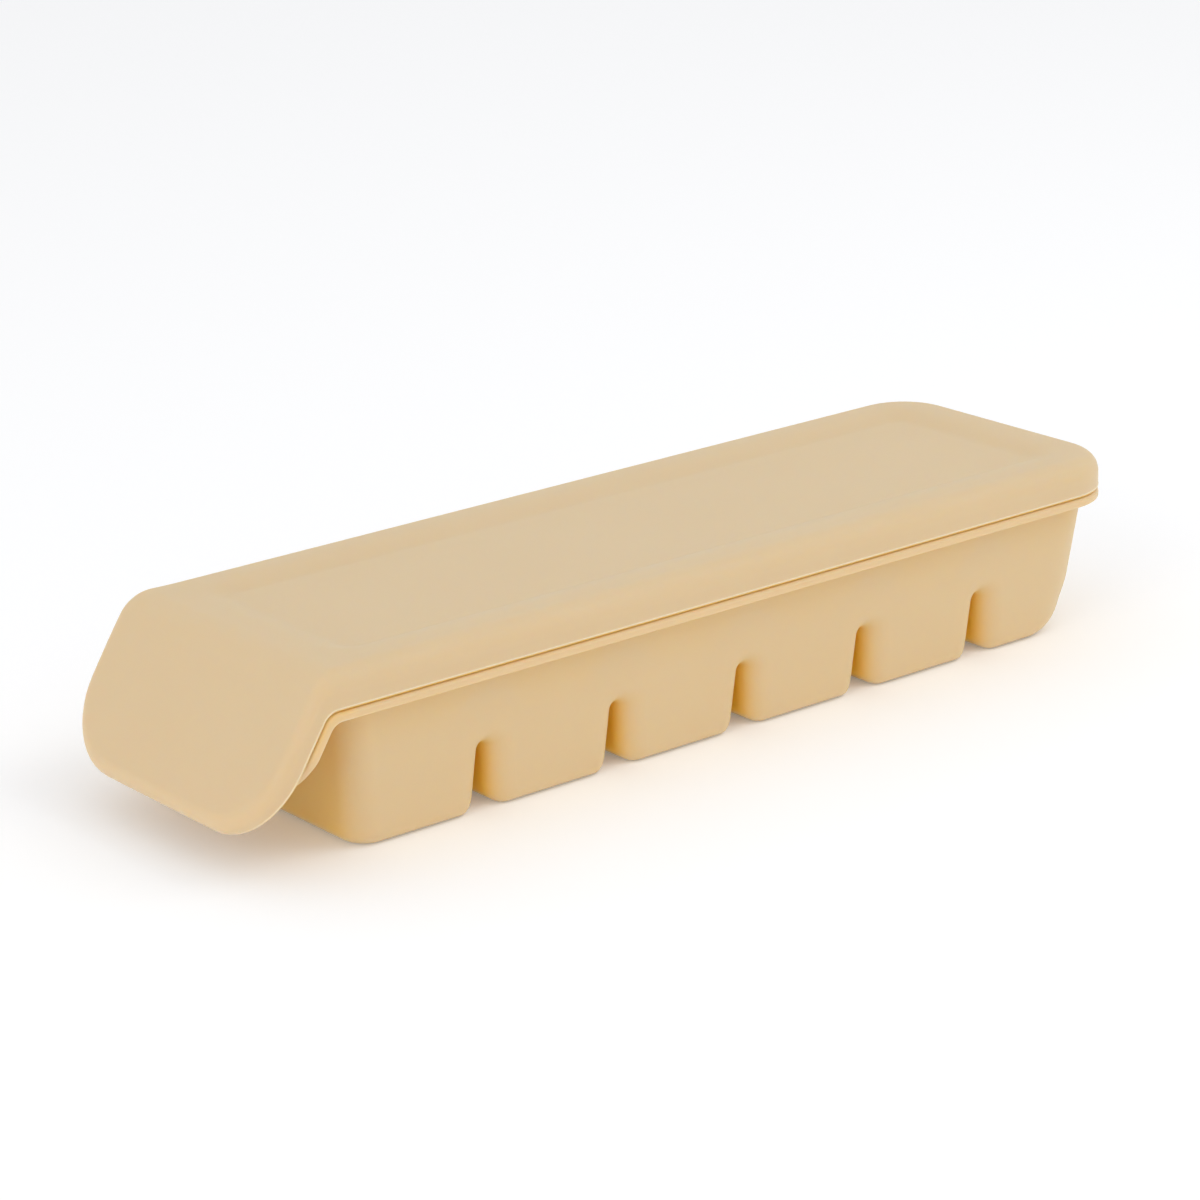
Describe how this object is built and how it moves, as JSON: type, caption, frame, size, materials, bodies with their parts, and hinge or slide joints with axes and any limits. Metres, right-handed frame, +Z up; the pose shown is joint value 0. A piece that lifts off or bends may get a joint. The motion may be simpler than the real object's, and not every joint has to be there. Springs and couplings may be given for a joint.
{
  "type": "freezer tray",
  "caption": "Long lidded silicone freezer tray: a row of deep drafted cells, a press-on lid with a shallow recess, and a sloped pull flap at one end.",
  "frame": {"origin": "middle of the whole object, flap included, on the plane it stands on", "axes": "+X along the row of cells, away from the pull flap; +Y across the row; +Z up"},
  "size_m": [0.2758, 0.084, 0.0477],
  "materials": {
    "tray_silicone": "matte",
    "lid_silicone": "matte"
  },
  "bodies": {
    "tray": {"tray_rim": "tray_silicone", "cup_1": "tray_silicone", "cup_2": "tray_silicone", "cup_3": "tray_silicone", "cup_4": "tray_silicone", "cup_5": "tray_silicone", "cup_6": "tray_silicone"},
    "lid": {"lid": "lid_silicone"},
    "lid_flap": {"lid_flap": "lid_silicone"}
  },
  "joints": [
    {"name": "lid_lift", "type": "slide", "parent": "tray", "child": "lid", "axis": [0, 0, 1], "range_m": [0, 0.06]},
    {"name": "flap_hinge", "type": "hinge", "parent": "lid", "child": "lid_flap", "pos_m": [-0.11507, 0, 0.04552], "axis": [0, 1, 0], "range_deg": [0, 90], "stiffness_Nm_per_rad": 0.01}
  ]
}
